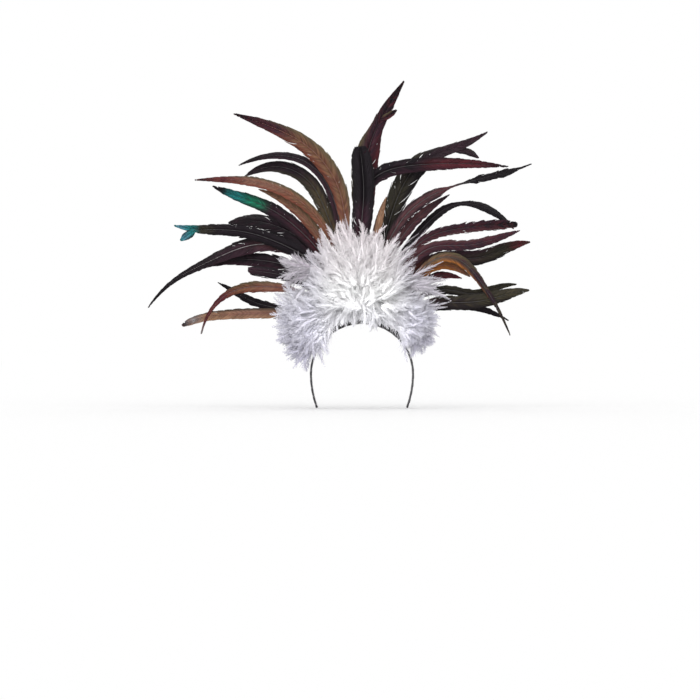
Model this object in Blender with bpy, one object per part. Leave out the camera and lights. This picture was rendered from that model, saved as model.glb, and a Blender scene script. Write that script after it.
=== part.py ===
"""Carnival feather headdress in metres, +Z up, its front towards -Y.

A plain headband carries an upright crest pad. A fan of long curved tail feathers stands in the
pad's rim, in rows one behind the other, and three tufts of white feathers cover the pad's front.
The origin is where the crown of the head touches the inside of the band.
"""

import math
from collections import namedtuple

import bmesh
import bpy
from mathutils import Vector

# Gap kept between pieces that touch on the real object
CLEARANCE = 0.0003

# Headband, over the head from ear to ear
BAND_RADIUS = 0.075
BAND_HEIGHT = 0.125
BAND_THICKNESS = 0.003
BAND_WIDTH = 0.026
BAND_END_WIDTH = 0.014
BAND_TOE_IN = 0.009
BAND_EDGE = 0.0009
BAND_END_ROUNDING = 0.7

# Crest pad, a felt crescent that stands on the band
PAD_RADIUS = 0.072
PAD_RISE = 0.002
PAD_EDGE = 0.0025
PAD_EDGE_BEVEL = 0.0015

# Tail feathers: full length and width, and the quill that runs through each
COQUE_LENGTH = 0.350
COQUE_WIDTH = 0.027
QUILL_THICKNESS = 0.0022
QUILL_WIDTH = 0.0032
VANE_EDGE = 0.0010

# Shares of the quill's width and thickness that are left at the feather's tip
TIP_WIDTH = 0.4
TIP_THICKNESS = 0.45

# Side tips are thinner than the vane that they split from
PRONG_THICKNESS = 0.7
PRONG_OUTLINE = ((0, 0.35), (0.35, 1), (0.75, 0.8), (1, 0.12))

# Twist grows from nothing at the quill to its full amount at this share of the length
TWIST_START = 0.33

# The rows that the feathers stand in: 0 is the front row
ROW_COUNT = 8
ROW_CLEARANCE = 0.0008
ROW_GAP = QUILL_THICKNESS + ROW_CLEARANCE
PAD_DEPTH = ROW_COUNT * ROW_GAP + 2 * PAD_EDGE

# At this distance from the rim's centre the rows have spread and swept back by these amounts
FAN_REACH = 0.280
FAN_SPREAD = 4.0
FAN_SWEEP = 0.020

# White tufts: full length, width and thickness of a lock
LOCK_LENGTH = 0.105
LOCK_WIDTH = 0.034
LOCK_THICKNESS = 0.0055
LOCK_TIP_THICKNESS = 0.3
LOCK_OUTLINE = ((0, 0.45), (0.3, 0.95), (0.6, 1), (0.85, 0.6), (1, 0.06))

# Locks start at this share of the mound's radius, vary in length and curl, and overlap like
# shingles by their tilt in degrees
LOCK_START = 0.35
LOCK_UNEVEN = 0.10
LOCK_CURL = 9
LOCK_TILT = 15

VANE_SECTIONS = 15
LOCK_SECTIONS = 6
PATH_STEPS = 60
BAND_ARC_STEPS = 20
BAND_LEG_STEPS = 4
RIM_STEPS = 32
SADDLE_STEPS = 14
MOUND_SIDES = 12
MOUND_STOPS = (0, 0.5, 0.87, 1)
MOUND_FULLNESS = 0.96

Feather = namedtuple("Feather", "name seat row root quarter half late tip length width twist vane tone")
Prong = namedtuple("Prong", "feather at turn curl length width")
Tuft = namedtuple("Tuft", "name across up radius depth")
Ring = namedtuple("Ring", "tuft depth lean count first last length width curl")

# Vane outlines: share of the feather's length against share of its full width
VANES = {
    "sword": ((0, 0.10), (0.15, 0.22), (0.32, 0.80), (0.5, 1), (0.7, 0.88), (0.88, 0.48), (1, 0.05)),
    "broad": ((0, 0.10), (0.10, 0.30), (0.28, 0.95), (0.55, 1), (0.78, 0.82), (0.92, 0.45), (1, 0.07)),
    "sickle": ((0, 0.10), (0.14, 0.30), (0.30, 0.80), (0.46, 1), (0.62, 0.66), (0.78, 0.34), (1, 0.05)),
    "blunt": ((0, 0.10), (0.16, 0.36), (0.38, 0.92), (0.80, 1), (0.94, 0.92), (1, 0.60)),
    "shouldered": (
        (0, 0.10), (0.15, 0.30), (0.36, 0.90), (0.50, 1),
        (0.62, 0.92), (0.72, 0.52), (0.86, 0.40), (1, 0.04),
    ),
    "ribbon": (
        (0, 0.20), (0.20, 0.60), (0.38, 1), (0.54, 0.85),
        (0.64, 0.42), (0.78, 0.95), (0.90, 0.65), (1, 0.12),
    ),
    "stripped": (
        (0, 0.10), (0.20, 0.70), (0.36, 1), (0.52, 0.80), (0.58, 0.14), (0.66, 0.12),
        (0.73, 0.72), (0.80, 0.52), (0.86, 0.72), (0.93, 0.16), (1, 0.05),
    ),
}

# The fan, read from the front. Seat is the quill's place round the rim and the five headings are
# the feather's direction along its length, all in degrees from +X towards +Z. Length and width are
# shares of the full ones, and twist is the share of the free space that the vane's edges take up.
FEATHERS = (
    Feather("coque_left_01", 105, 2, 98, 94, 125, 154, 162, 0.96, 1.00, 0.6, "sword", "brown"),
    Feather("coque_left_02", 110, 4, 94, 99, 121, 173, 205, 0.85, 0.50, -0.4, "broad", "dark"),
    Feather("coque_left_03", 114, 6, 93, 108, 118, 165, 214, 0.76, 0.85, 0.5, "broad", "dark"),
    Feather("coque_left_04", 118, 1, 93, 119, 149, 174, 182, 0.86, 0.64, -0.5, "sword", "brown"),
    Feather("coque_left_05", 123, 3, 91, 117, 129, 146, 162, 0.55, 0.62, 0.5, "sword", "brown"),
    Feather("coque_left_06", 128, 5, 99, 129, 143, 160, 156, 0.71, 0.80, 0.7, "broad", "dark"),
    Feather("coque_left_07", 133, 7, 110, 121, 149, 169, 192, 0.58, 1.00, -0.6, "broad", "dark"),
    Feather("coque_left_08", 138, 2, 103, 147, 162, 179, 168, 0.76, 0.74, 0.6, "broad", "dark"),
    Feather("coque_left_09", 143, 4, 102, 154, 199, 208, 234, 0.95, 0.92, -0.7, "sickle", "dark"),
    Feather("coque_left_10", 149, 6, 106, 150, 171, 181, 208, 0.58, 0.84, 0.6, "broad", "dark"),
    Feather("coque_left_11", 155, 3, 113, 140, 165, 171, 174, 0.35, 0.62, -0.5, "blunt", "dark"),
    Feather("coque_left_12", 168, 7, 172, 173, 165, 150, 152, 0.45, 0.50, 0.5, "sword", "dark"),
    Feather("coque_left_13", 161, 1, 129, 170, 186, 226, 257, 0.62, 0.66, 0.7, "sickle", "brown"),
    Feather("coque_left_14", 174, 4, 170, 177, 182, 187, 207, 0.58, 0.60, -0.4, "broad", "brown"),
    Feather("coque_top_1", 88, 5, 87, 92, 84, 64, 57, 0.89, 1.45, -0.6, "shouldered", "dark"),
    Feather("coque_top_2", 95, 1, 86, 86, 85, 94, 97, 0.55, 1.25, 0.4, "blunt", "dark"),
    Feather("coque_top_3", 82, 0, 80, 80, 78, 76, 70, 0.34, 0.50, 0.4, "sword", "brown"),
    Feather("coque_right_01", 73, 6, 77, 75, 60, 20, 33, 0.87, 1.25, 0.7, "shouldered", "dark"),
    Feather("coque_right_02", 77, 3, 90, 101, 18, 1, -5, 1.03, 0.85, -0.6, "sword", "dark"),
    Feather("coque_right_03", 68, 2, 84, 58, 27, 13, 22, 0.89, 0.72, 0.6, "stripped", "plum"),
    Feather("coque_right_04", 63, 4, 85, 62, 51, 39, 31, 0.48, 0.60, -0.6, "sword", "plum"),
    Feather("coque_right_05", 57, 7, 70, 52, 38, -16, -46, 0.75, 0.52, 0.7, "ribbon", "dark"),
    Feather("coque_right_06", 51, 5, 69, 50, 15, 6, 1, 0.66, 0.54, -0.5, "blunt", "plum"),
    Feather("coque_right_07", 45, 3, 69, 43, 0, 16, 19, 0.63, 0.50, 0.6, "broad", "plum"),
    Feather("coque_right_08", 40, 6, 62, 28, -1, 23, 8, 0.64, 0.85, -0.6, "broad", "plum"),
    Feather("coque_right_09", 35, 1, 56, 36, -42, -58, -68, 0.71, 0.62, 0.7, "sickle", "brown"),
    Feather("coque_right_10", 30, 4, 59, 50, 26, -18, -37, 0.36, 0.50, -0.5, "broad", "brown"),
    Feather("coque_right_11", 25, 7, 57, 45, 28, -1, -20, 0.29, 0.50, 0.5, "sword", "plum"),
    Feather("coque_right_12", 19, 5, 46, 16, -12, 20, 2, 0.50, 0.50, -0.6, "broad", "dark"),
    Feather("coque_right_13", 12, 2, 38, 1, 4, 17, 5, 0.53, 0.85, 0.6, "broad", "dark"),
    Feather("coque_right_14", 5, 7, 33, 11, 1, -18, -28, 0.45, 0.46, 0.5, "sword", "dark"),
)

# Side tips that split off a vane: where along it, and which way in degrees
PRONGS = (
    Prong("coque_top_1", 0.77, -36, 12, 0.085, 0.36),
    Prong("coque_left_08", 0.87, 38, 6, 0.085, 0.48),
    Prong("coque_right_01", 0.78, -12, -46, 0.140, 0.46),
)

# White tufts: place on the pad as shares of its radius, and their mounds' radius and depth
TUFTS = (
    Tuft("plume_crown", -0.08, 0.54, 0.44, 0.42),
    Tuft("plume_left", -0.72, 0.05, 0.19, 0.26),
    Tuft("plume_right", 0.72, 0.05, 0.19, 0.26),
)

# Rings of locks on each tuft. Depth is the roots' share of the mound's depth and lean the angle
# that the locks come forward by. First and last are headings in degrees, spread evenly between.
RINGS = (
    Ring("plume_crown", 0.12, 2, 8, 34, 158, 0.90, 1.00, 8),
    Ring("plume_crown", 0.38, 22, 8, 6, 176, 0.78, 1.00, 6),
    Ring("plume_crown", 0.64, 42, 8, -14, 194, 0.64, 0.90, 4),
    Ring("plume_crown", 0.88, 60, 6, 0, 300, 0.44, 0.80, 0),
    Ring("plume_left", 0.30, 4, 6, 158, 230, 0.70, 0.70, 6),
    Ring("plume_left", 0.80, 26, 4, 150, 246, 0.54, 0.66, 4),
    Ring("plume_right", 0.30, 4, 5, -46, 18, 0.52, 0.66, -6),
    Ring("plume_right", 0.80, 26, 4, -58, 24, 0.42, 0.60, -4),
)

TONES = {
    "dark": ((0.018, 0.014, 0.015), 0.45),
    "plum": ((0.045, 0.020, 0.024), 0.50),
    "brown": ((0.130, 0.062, 0.036), 0.55),
    "white": ((0.80, 0.80, 0.82), 0.90),
    "felt": ((0.020, 0.020, 0.022), 0.95),
    "satin": ((0.012, 0.012, 0.014), 0.40),
}


def clear_scene():
    for obj in list(bpy.data.objects):
        bpy.data.objects.remove(obj, do_unlink=True)


def material(tone):
    found = bpy.data.materials.get(tone)
    if found:
        return found
    colour, roughness = TONES[tone]
    made = bpy.data.materials.new(tone)
    made.use_nodes = True
    shader = made.node_tree.nodes["Principled BSDF"]
    shader.inputs["Base Color"].default_value = (*colour, 1)
    shader.inputs["Roughness"].default_value = roughness
    shader.inputs["Metallic"].default_value = 0
    return made


def add_object(name, mesh, tone):
    mesh.materials.append(material(tone))
    mesh.shade_smooth()
    mesh.set_sharp_from_angle(angle=math.radians(40))
    obj = bpy.data.objects.new(name, mesh)
    bpy.context.scene.collection.objects.link(obj)
    return obj


def add_loft(bm, rings):
    """Joins rings of equal count into one closed skin with flat ends."""
    loops = [[bm.verts.new(point) for point in ring] for ring in rings]
    count = len(loops[0])
    for near, far in zip(loops, loops[1:]):
        for i in range(count):
            after = (i + 1) % count
            bm.faces.new((near[i], near[after], far[after], far[i]))
    bm.faces.new(reversed(loops[0]))
    bm.faces.new(loops[-1])


def loft_mesh(name, lofts):
    bm = bmesh.new()
    for rings in lofts:
        add_loft(bm, rings)
    bmesh.ops.recalc_face_normals(bm, faces=bm.faces)
    mesh = bpy.data.meshes.new(name)
    bm.to_mesh(mesh)
    bm.free()
    return mesh


def union(obj, tool):
    """Fuses a guide object, itself left out of the model, into obj."""
    tool.hide_render = True
    tool.display_type = "WIRE"
    fuse = obj.modifiers.new("fuse", "BOOLEAN")
    fuse.operation = "UNION"
    fuse.solver = "EXACT"
    fuse.use_self = True
    fuse.object = tool


def polar(radius, degrees):
    """Point of the fan's plane at a distance from the rim's centre."""
    angle = math.radians(degrees)
    return Vector((radius * math.cos(angle), PAD_RISE + radius * math.sin(angle)))


def spread_at(point):
    """How far out a point of the fan lies: 0 at the rim, 1 at the fan's reach."""
    radius = math.hypot(point[0], point[1] - PAD_RISE)
    return max(0.0, radius - PAD_RADIUS) / (FAN_REACH - PAD_RADIUS)


def row_gap_at(point):
    return ROW_GAP * (1 + (FAN_SPREAD - 1) * spread_at(point))


def row_depth(row, point):
    """Y of a row's middle at a point of the fan's plane."""
    from_middle = row - (ROW_COUNT - 1) / 2
    return from_middle * row_gap_at(point) + FAN_SWEEP * spread_at(point) ** 2


def between(stops, share):
    """Value at a share of the way along, by straight lines between (share, value) stops."""
    for (start, low), (end, high) in zip(stops, stops[1:]):
        if share <= end:
            return low + (high - low) * (share - start) / (end - start)
    return stops[-1][1]


def tapered(tip, share):
    """Factor that falls from 1 at the root to its value at the tip."""
    return 1 + (tip - 1) * share


def even_bend(heading, curl):
    """The five headings of a line that bends evenly by curl degrees."""
    return [heading + curl * i / 4 for i in range(5)]


def smooth_heading(headings, share):
    """Heading in degrees on a smooth curve through equally spaced ones."""
    last = len(headings) - 1
    place = min(share * last, last - 1e-9)
    i = int(place)
    t = place - i
    before = headings[max(i - 1, 0)]
    here = headings[i]
    ahead = headings[i + 1]
    beyond = headings[min(i + 2, last)]
    slope = (ahead - before) / 2
    next_slope = (beyond - here) / 2
    cubic = 2 * t**3 - 3 * t**2 + 1
    return (
        cubic * here
        + (t**3 - 2 * t**2 + t) * slope
        + (1 - cubic) * ahead
        + (t**3 - t**2) * next_slope
    )


def trace_path(start, headings, length):
    """Points and headings along a curve, with one more than PATH_STEPS of each."""
    step = length / PATH_STEPS
    place = start.copy()
    path = []
    for i in range(PATH_STEPS + 1):
        heading = smooth_heading(headings, i / PATH_STEPS)
        path.append((place.copy(), heading))
        middle = math.radians(smooth_heading(headings, min(1, (i + 0.5) / PATH_STEPS)))
        place += step * Vector((math.cos(middle), math.sin(middle)))
    return path


def station(path, share):
    return path[round(share * PATH_STEPS)]


def vane_ring(row, centre, heading, half_width, half_rib, twist):
    """Six-sided section of a feather, bent to lie in its own row."""
    across = Vector((-math.sin(math.radians(heading)), math.cos(math.radians(heading))))
    half_edge = min(VANE_EDGE / 2, half_rib)
    free = (row_gap_at(centre) - QUILL_THICKNESS) / 2
    ring = []
    for side, lift in ((-1, -1), (0, -1), (1, -1), (1, 1), (0, 1), (-1, 1)):
        flat = centre + across * half_width * side
        tilt = twist * free * side * min(1, 2 * half_width / COQUE_WIDTH)
        thickness = half_rib if side == 0 else half_edge
        ring.append((flat.x, row_depth(row, flat) + tilt + lift * thickness, flat.y))
    return ring


def coque_seat(feather):
    """Start of the quill, a clearance off the pad's rim even where it leaves at a slant."""
    slant = abs(math.sin(math.radians(feather.root - feather.seat)))
    return polar(PAD_RADIUS + CLEARANCE + slant * QUILL_WIDTH / 2, feather.seat)


def coque_path(feather):
    headings = (feather.root, feather.quarter, feather.half, feather.late, feather.tip)
    return trace_path(coque_seat(feather), headings, feather.length * COQUE_LENGTH)


def vane_rings(row, path, outline, full_width, twist, sections, rib_share):
    """Sections of one vane, from its quill to its tip."""
    rings = []
    for i in range(sections):
        share = i / (sections - 1)
        centre, heading = station(path, share)
        narrowest = QUILL_WIDTH * tapered(TIP_WIDTH, share)
        half_width = max(narrowest, full_width * between(outline, share)) / 2
        half_rib = QUILL_THICKNESS / 2 * tapered(TIP_THICKNESS, share) * rib_share
        twisted = twist * min(1, share / TWIST_START)
        rings.append(vane_ring(row, centre, heading, half_width, half_rib, twisted))
    return rings


def make_coque(feather):
    """One tail feather, with the side tips that split off its vane fused on."""
    path = coque_path(feather)
    width = feather.width * COQUE_WIDTH
    rings = vane_rings(feather.row, path, VANES[feather.vane], width, feather.twist, VANE_SECTIONS, 1)
    obj = add_object(feather.name, loft_mesh(feather.name, [rings]), feather.tone)
    for prong in PRONGS:
        if prong.feather == feather.name:
            union(obj, make_prong(prong, feather, path))


def make_prong(prong, feather, path):
    start, heading = station(path, prong.at)
    branch = trace_path(
        start, even_bend(heading + prong.turn, prong.curl), prong.length * COQUE_LENGTH
    )
    width = prong.width * COQUE_WIDTH
    rings = vane_rings(feather.row, branch, PRONG_OUTLINE, width, 0, LOCK_SECTIONS, PRONG_THICKNESS)
    name = feather.name + "_side_tip"
    return add_object(name, loft_mesh(name, [rings]), feather.tone)


def tuft_centre(tuft):
    return Vector((tuft.across * PAD_RADIUS, PAD_RISE + tuft.up * PAD_RADIUS))


def mound_face(tuft, share):
    """Y of the tuft's mound at a share of its depth, and its radius there."""
    depth = -PAD_DEPTH / 2 - CLEARANCE - share * tuft.depth * PAD_RADIUS
    return depth, tuft.radius * PAD_RADIUS * math.sqrt(1 - MOUND_FULLNESS * share**2)


def mound_rings(tuft):
    """Domed mound on the pad's front face that the locks grow from."""
    centre = tuft_centre(tuft)
    rings = []
    for share in MOUND_STOPS:
        depth, radius = mound_face(tuft, share)
        ring = []
        for i in range(MOUND_SIDES):
            angle = 2 * math.pi * i / MOUND_SIDES
            ring.append((centre.x + radius * math.cos(angle), depth, centre.y + radius * math.sin(angle)))
        rings.append(ring)
    return rings


def lock_rings(tuft, ring, index):
    """One lock of white feathers: a curved leaf with a thick middle and a pointed tip."""
    heading = ring.first + (ring.last - ring.first) * index / max(1, ring.count - 1)
    uneven = math.sin(2.4 * index + 5 * ring.depth)
    curl = ring.curl + LOCK_CURL * math.cos(1.9 * index + 5 * ring.depth)
    length = LOCK_LENGTH * ring.length * (1 + LOCK_UNEVEN * uneven)
    path = trace_path(Vector((0, 0)), even_bend(heading, curl), length)
    lean = math.radians(ring.lean)
    depth, radius = mound_face(tuft, ring.depth)
    angle = math.radians(heading)
    start = tuft_centre(tuft) + LOCK_START * radius * Vector((math.cos(angle), math.sin(angle)))
    rings = []
    for i in range(LOCK_SECTIONS):
        along = i / (LOCK_SECTIONS - 1)
        offset, way = station(path, along)
        across = Vector((-math.sin(math.radians(way)), math.cos(math.radians(way))))
        half_width = LOCK_WIDTH * ring.width * between(LOCK_OUTLINE, along) / 2
        half_thick = LOCK_THICKNESS / 2 * tapered(LOCK_TIP_THICKNESS, along)
        middle = start + math.cos(lean) * offset
        forward = depth - math.sin(lean) * offset.length
        points = []
        for side, lift in ((-1, 0), (0, -1), (1, 0), (0, 1)):
            flat = middle + across * half_width * side
            tilted = forward + side * half_width * math.tan(math.radians(LOCK_TILT))
            points.append((flat.x, tilted + lift * half_thick, flat.y))
        rings.append(points)
    return rings


def make_tuft(tuft):
    mound = add_object(tuft.name, loft_mesh(tuft.name, [mound_rings(tuft)]), "white")
    locks = [
        lock_rings(tuft, ring, index)
        for ring in RINGS
        if ring.tuft == tuft.name
        for index in range(ring.count)
    ]
    name = tuft.name + "_locks"
    union(mound, add_object(name, loft_mesh(name, locks), "white"))


def band_stations():
    """Inside line of the band from one end over the crown to the other, with its outward direction."""
    arc = []
    for i in range(BAND_ARC_STEPS + 1):
        angle = math.pi * (1 - i / BAND_ARC_STEPS)
        outward = Vector((math.cos(angle), math.sin(angle)))
        arc.append((Vector((0, -BAND_RADIUS)) + BAND_RADIUS * outward, outward))
    leg = BAND_HEIGHT - BAND_RADIUS
    right = []
    for i in range(1, BAND_LEG_STEPS + 1):
        share = i / BAND_LEG_STEPS
        slope = math.atan(2 * BAND_TOE_IN * share / leg)
        inside = Vector((BAND_RADIUS - BAND_TOE_IN * share**2, -BAND_RADIUS - leg * share))
        right.append((inside, Vector((math.cos(slope), -math.sin(slope)))))
    left = [(Vector((-p.x, p.y)), Vector((-n.x, n.y))) for p, n in reversed(right)]
    return left + arc + right


def make_headband():
    """Covered band of even thickness that narrows towards its rounded ends."""
    stations = band_stations()
    last = len(stations) - 1
    rings = []
    for i, (inside, outward) in enumerate(stations):
        from_crown = abs(2 * i / last - 1)
        half_width = (BAND_WIDTH + (BAND_END_WIDTH - BAND_WIDTH) * from_crown**2) / 2
        if i in (0, last):
            half_width *= BAND_END_ROUNDING
        inner = inside
        outer = inside + outward * BAND_THICKNESS
        edge = BAND_EDGE * outward
        section = (
            (inner, half_width - BAND_EDGE),
            (inner + edge, half_width),
            (outer - edge, half_width),
            (outer, half_width - BAND_EDGE),
        )
        ring = [(p.x, depth, p.y) for p, depth in section]
        ring += [(p.x, -depth, p.y) for p, depth in reversed(section)]
        rings.append(ring)
    add_object("headband", loft_mesh("headband", [rings]), "satin")


def crescent_outline():
    """The pad from the front: its rim from horn to horn, then the saddle that fits the band."""
    saddle = BAND_RADIUS + BAND_THICKNESS + CLEARANCE
    drop = BAND_RADIUS + PAD_RISE
    meet = (saddle**2 - PAD_RADIUS**2 - drop**2) / (2 * drop)
    horn = math.degrees(math.asin(meet / PAD_RADIUS))
    saddle_horn = math.degrees(math.atan2(meet + drop, math.sqrt(PAD_RADIUS**2 - meet**2)))
    points = []
    for i in range(RIM_STEPS + 1):
        point = polar(PAD_RADIUS, horn + (180 - 2 * horn) * i / RIM_STEPS)
        points.append(point)
    for i in range(1, SADDLE_STEPS):
        angle = math.radians(180 - saddle_horn - (180 - 2 * saddle_horn) * i / SADDLE_STEPS)
        points.append(Vector((saddle * math.cos(angle), saddle * math.sin(angle) - BAND_RADIUS)))
    return points


def make_crest_pad():
    bm = bmesh.new()
    front = -PAD_DEPTH / 2
    corners = [bm.verts.new((p.x, front, p.y)) for p in crescent_outline()]
    face = bm.faces.new(corners)
    grown = bmesh.ops.extrude_face_region(bm, geom=[face])
    moved = [v for v in grown["geom"] if isinstance(v, bmesh.types.BMVert)]
    bmesh.ops.translate(bm, verts=moved, vec=(0, PAD_DEPTH, 0))
    bmesh.ops.recalc_face_normals(bm, faces=bm.faces)
    mesh = bpy.data.meshes.new("crest_pad")
    bm.to_mesh(mesh)
    bm.free()
    obj = add_object("crest_pad", mesh, "felt")
    rounding = obj.modifiers.new("rounding", "BEVEL")
    rounding.width = PAD_EDGE_BEVEL
    rounding.segments = 1
    rounding.limit_method = "ANGLE"
    rounding.angle_limit = math.radians(60)


def main():
    clear_scene()
    make_headband()
    make_crest_pad()
    for feather in FEATHERS:
        make_coque(feather)
    for tuft in TUFTS:
        make_tuft(tuft)


main()
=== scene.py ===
"""Looks of the carnival feather headdress, in metres, +Z up, its front towards -Y.

Every tail feather of the frame becomes a tapered rib with separate barbs on both sides, and every
white tuft a soft core under many small downy feathers. The felt pad gets rounded edges and
stitches, and the band its wound ribbon. Plans and sizes of the fan are those of the frame's source.
"""

from collections import namedtuple
from math import asin, atan2, cos, degrees, pi, radians, sin, sqrt, tan

import bpy
import numpy as np
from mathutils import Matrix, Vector


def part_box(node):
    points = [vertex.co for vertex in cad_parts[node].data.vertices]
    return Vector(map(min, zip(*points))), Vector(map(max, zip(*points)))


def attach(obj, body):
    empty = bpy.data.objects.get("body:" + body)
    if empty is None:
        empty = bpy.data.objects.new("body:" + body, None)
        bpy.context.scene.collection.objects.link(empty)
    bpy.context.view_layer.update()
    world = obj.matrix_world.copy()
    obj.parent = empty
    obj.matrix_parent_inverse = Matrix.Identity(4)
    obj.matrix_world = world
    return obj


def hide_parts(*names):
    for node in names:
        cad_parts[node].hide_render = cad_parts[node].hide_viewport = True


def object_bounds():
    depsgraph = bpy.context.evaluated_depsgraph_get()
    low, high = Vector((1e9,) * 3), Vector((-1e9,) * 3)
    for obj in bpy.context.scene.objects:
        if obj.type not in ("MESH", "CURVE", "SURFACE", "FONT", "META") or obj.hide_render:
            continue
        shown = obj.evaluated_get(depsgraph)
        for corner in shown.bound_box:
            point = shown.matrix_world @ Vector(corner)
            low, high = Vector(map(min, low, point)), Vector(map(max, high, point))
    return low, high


MM = 0.001
NOTHING = 1e-12
NEARLY = 1e-9
BACK = np.array((0, 1.0, 0))
COQUE_SEED = 100

# Sizes that the frame's pieces are laid out by
CLEARANCE = 0.0003
PAD_RISE = 0.002
PAD_EDGE = 0.0025
COQUE_LENGTH = 0.350
COQUE_WIDTH = 0.027
QUILL_THICKNESS = 0.0022
QUILL_WIDTH = 0.0032
TWIST_START = 0.33
ROW_COUNT = 8
ROW_GAP = QUILL_THICKNESS + 0.0008
PAD_DEPTH = ROW_COUNT * ROW_GAP + 2 * PAD_EDGE
FAN_REACH = 0.280
FAN_SPREAD = 4.0
FAN_SWEEP = 0.020
BAND_RADIUS = 0.075
BAND_HEIGHT = 0.125
BAND_THICKNESS = 0.003
BAND_WIDTH = 0.026
BAND_END_WIDTH = 0.014
BAND_TOE_IN = 0.009
LOCK_LENGTH = 0.105
LOCK_WIDTH = 0.034
LOCK_OUTLINE = ((0, 0.3, 0.6, 0.85, 1), (0.45, 0.95, 1, 0.6, 0.06))
LOCK_START = 0.35
LOCK_UNEVEN = 0.10
LOCK_CURL = 9
LOCK_WAVES = (2.4, 1.9, 5)
MOUND_FULLNESS = 0.96
PRONG_OUTLINE = ((0, 0.8), (0.35, 1), (0.75, 0.8), (1, 0.12))

# Barbs of the tail feathers: distance, width and angle at the rib, share of the width at the tip,
# height of the middle line and the tip's loss of it, roll on itself, and the vane's arch backwards
BARB_PITCH = 1.25 * MM
BARB_WIDTH = 1.9 * MM
BARB_TIP = 0.35
BARB_TAPER = 1.5
BARB_ANGLE = 34
BARB_RIDGE = 0.22 * MM
BARB_RIDGE_LOSS = 0.7
BARB_ROLL = 0.16
BARB_STEPS = 4
CAMBER = 0.16

# How uneven they are: roots in shares of the pitch, size, roll, and the few that stand out. Limits
# of the roots in shares of the feather, how far barbs reach along it, least width and least reach
ROOT_UNEVEN = 0.25
BARB_UNEVEN = (0.85, 1.15)
ROLL_UNEVEN = (0.4, 1.6)
STRAY_SHARE = 0.03
STRAY_SIZE = 1.05
ROOTS = (0.01, 0.995)
BARB_REACH = 1.6
REACH_LEAST = (0.25, 0.002)

# Bunches of barbs: their sizes and how they close up at least; for the tightest vane, and how much
# more for the loosest, how they close at most, end early and have short barbs; fall of their sides
BUNCH_BARBS = (5, 16)
BUNCH_CLOSING_LEAST = 0.05
BUNCH_CLOSING = (0.25, 0.6)
BUNCH_END = (0.02, 0.10)
BARB_SHORTER = (0.04, 0.16)
BUNCH_CURVE = 0.32

RIB_WIDTH = 2.0 * MM
RIB_TIP = 0.22
RIB_TAPER = 0.8
RIB_SIDES = 6
RIB_STEPS = 70
PRONG_RIB = RIB_WIDTH * RIB_TIP * 1.6
VANE_LEAST = RIB_WIDTH * 0.4
PATH_STEPS = 240
BEND_STEPS = 4
OUTLINE_STEPS = 200
OUTLINE_SOFTENING = 6

# Small white feathers: size, outline of the vane and the share of it that is closed, height of its
# middle line and the tip's loss of it, and how flat they lie against their lock's lean
DOWN_LENGTH = 0.058
DOWN_WIDTH = 0.024
DOWN_VANE = ((0, 0.2, 0.5, 0.8, 1), (0.3, 1, 0.8, 0.25, 0.02))
DOWN_CLOSED = 0.30
DOWN_RIDGE = 0.7 * MM
DOWN_RIDGE_LOSS = 0.8
DOWN_FLAT = 0.35
DOWN_STATIONS = 7

# Their barbs: number on a side, where they grow, width at the rib, how long they are along the
# feather, the angle that their length comes from and its limit in shares of the feather
DOWN_BARBS = 16
DOWN_ROOTS = (0.04, 0.98)
DOWN_BARB_WIDTH = 1.9 * MM
DOWN_BARB_TIP = 0.10
DOWN_BARB_TAPER = 1.1
DOWN_FULLNESS = ((0, 0.2, 0.45, 0.75, 1), (0.75, 1, 0.82, 0.42, 0.10))
DOWN_REACH_ANGLE = 36
DOWN_REACH_MOST = 0.4
DOWN_THICKNESS = 0.2
DOWN_STEPS = 2

# How uneven they are. Least and most of sizes, widths, halves of a vane, greyness and barbs; middle
# and spread, in degrees, of a feather's directions and a barb's first and last angle, and of its wave
LOCK_SIZES = (0.75, 1.15)
LOCK_WIDTHS = (0.8, 1.1)
LOCK_REST = (0.9, 1.1)
SPRAY_SIZES = (0.70, 1.15)
SPRAY_WIDTHS = (0.85, 1.1)
HALVES = (0.75, 1.2)
GREYS = (0, 0.12)
LEANS = (0, 10)
CURLS = (0, 32)
ROLLS = (0, 30)
DROOPS = (-8, 18)
LOCK_HEADINGS = (0, 22)
SPRAY_HEADINGS = (0, 10)
FIRST_ANGLES = (50, 6)
FIRST_ANGLE_FALL = 16
LAST_ANGLES = (16, 20)
REACHES = (0.75, 1.15)
WAVES = (0.05, 0.20)
WAVE_RISE = 1.5

# Where they grow on a lock: part of its length, spread to the side, depths in millimetres and turn
# outwards in degrees; in the rows beside the locks, shares of the pad's radius aside and forwards
LOCK_ROOTS = (0, 0.62)
LOCK_ASIDE = (0, 0.45)
LOCK_DEPTHS = (-4, 3)
LOCK_TURN_OUT = 14
SPRAY_ASIDE = (0, 0.03)
SPRAY_DEPTHS = (0, 0.06)

# Those near the mounds' tops turn away from this point, in shares of the pad's radius
HUB = (0.0, 0.30)
HUB_PULL = 0.85

# Underside of down: corners, levels, size against the mound's, flat top and ripples round it
CORE_SIDES = 40
CORE_LEVELS = 10
CORE_SIZE = 1.05
CORE_TOP = 0.02
# The underside's greyness: painted shade under the feathers
CORE_GREY = 0.1
CORE_RIPPLES = ((0.05, 5, 1), (0.03, 11, -1))

# Satin ribbon wound round the band: how far apart its turns lie, how far each leads from the
# front edge to the back one, and how high its edge stands; the band's rounded corners and ends
WRAP_PITCH = 12 * MM
WRAP_SLANT = 0.35
WRAP_LIFT = 0.7 * MM
BAND_STATIONS = 300
BAND_SIDES = 28
BAND_CORNER = 0.45
BAND_END = 0.55
BAND_END_ROUNDING = 0.6

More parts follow.
